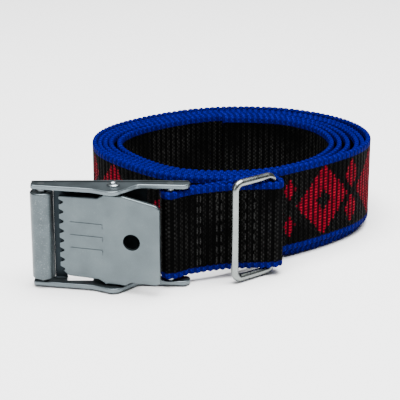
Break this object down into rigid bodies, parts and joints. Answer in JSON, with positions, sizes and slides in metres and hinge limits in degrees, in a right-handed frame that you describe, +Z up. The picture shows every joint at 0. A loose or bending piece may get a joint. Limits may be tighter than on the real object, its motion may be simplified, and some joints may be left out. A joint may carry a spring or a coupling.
{
  "type": "cam buckle tie-down strap",
  "caption": "Coiled webbing tie-down strap with a sprung toothed clamp lever in a pressed steel buckle, a strap roller and a rectangular wire ring sewn on.",
  "frame": {"origin": "middle of the whole object in plan, at the height of the surface it stands on", "axes": "+Z up along the strap's width and every hinge; the buckle is at -Y and its lever opens towards -Y; +X from the roller towards the ring"},
  "size_m": [0.0948, 0.0928, 0.0294],
  "materials": {
    "zinc_plated_steel": "satin bright zinc plating on pressed steel",
    "zinc_plated_pins": "zinc plated, riveted ends",
    "roller_steel": "turned and zinc plated",
    "spring_steel": "drawn spring wire",
    "ring_wire": "bent round wire, bright zinc plated",
    "polyester_webbing": "woven polyester webbing, black with blue selvedges",
    "sewing_thread": "bonded polyester thread"
  },
  "bodies": {
    "buckle_and_strap": {"buckle_frame": "zinc_plated_steel", "lever_rivet": "zinc_plated_pins", "roller_pin": "zinc_plated_pins", "strap_pin": "zinc_plated_pins", "webbing": "polyester_webbing", "buckle_seam": "sewing_thread", "ring_seam": "sewing_thread"},
    "lever": {"cam_lever": "zinc_plated_steel", "lever_spring": "spring_steel"},
    "roller": {"roller": "roller_steel"},
    "ring": {"ring": "ring_wire"}
  },
  "joints": [
    {"name": "lever_hinge", "type": "hinge", "parent": "buckle_and_strap", "child": "lever", "pos_m": [-0.0253, -0.03936, 0.0147], "axis": [0, 0, 1], "range_deg": [0, 18], "stiffness_Nm_per_rad": 0.05, "springref_deg": -57.3},
    {"name": "roller_spin", "type": "hinge", "parent": "buckle_and_strap", "child": "roller", "pos_m": [-0.04435, -0.03786, 0.0147], "axis": [0, 0, 1], "continuous": true},
    {"name": "ring_hinge", "type": "hinge", "parent": "buckle_and_strap", "child": "ring", "pos_m": [0.0168, -0.02946, 0.01485], "axis": [0, 0, 1], "range_deg": [-8, 165]}
  ]
}
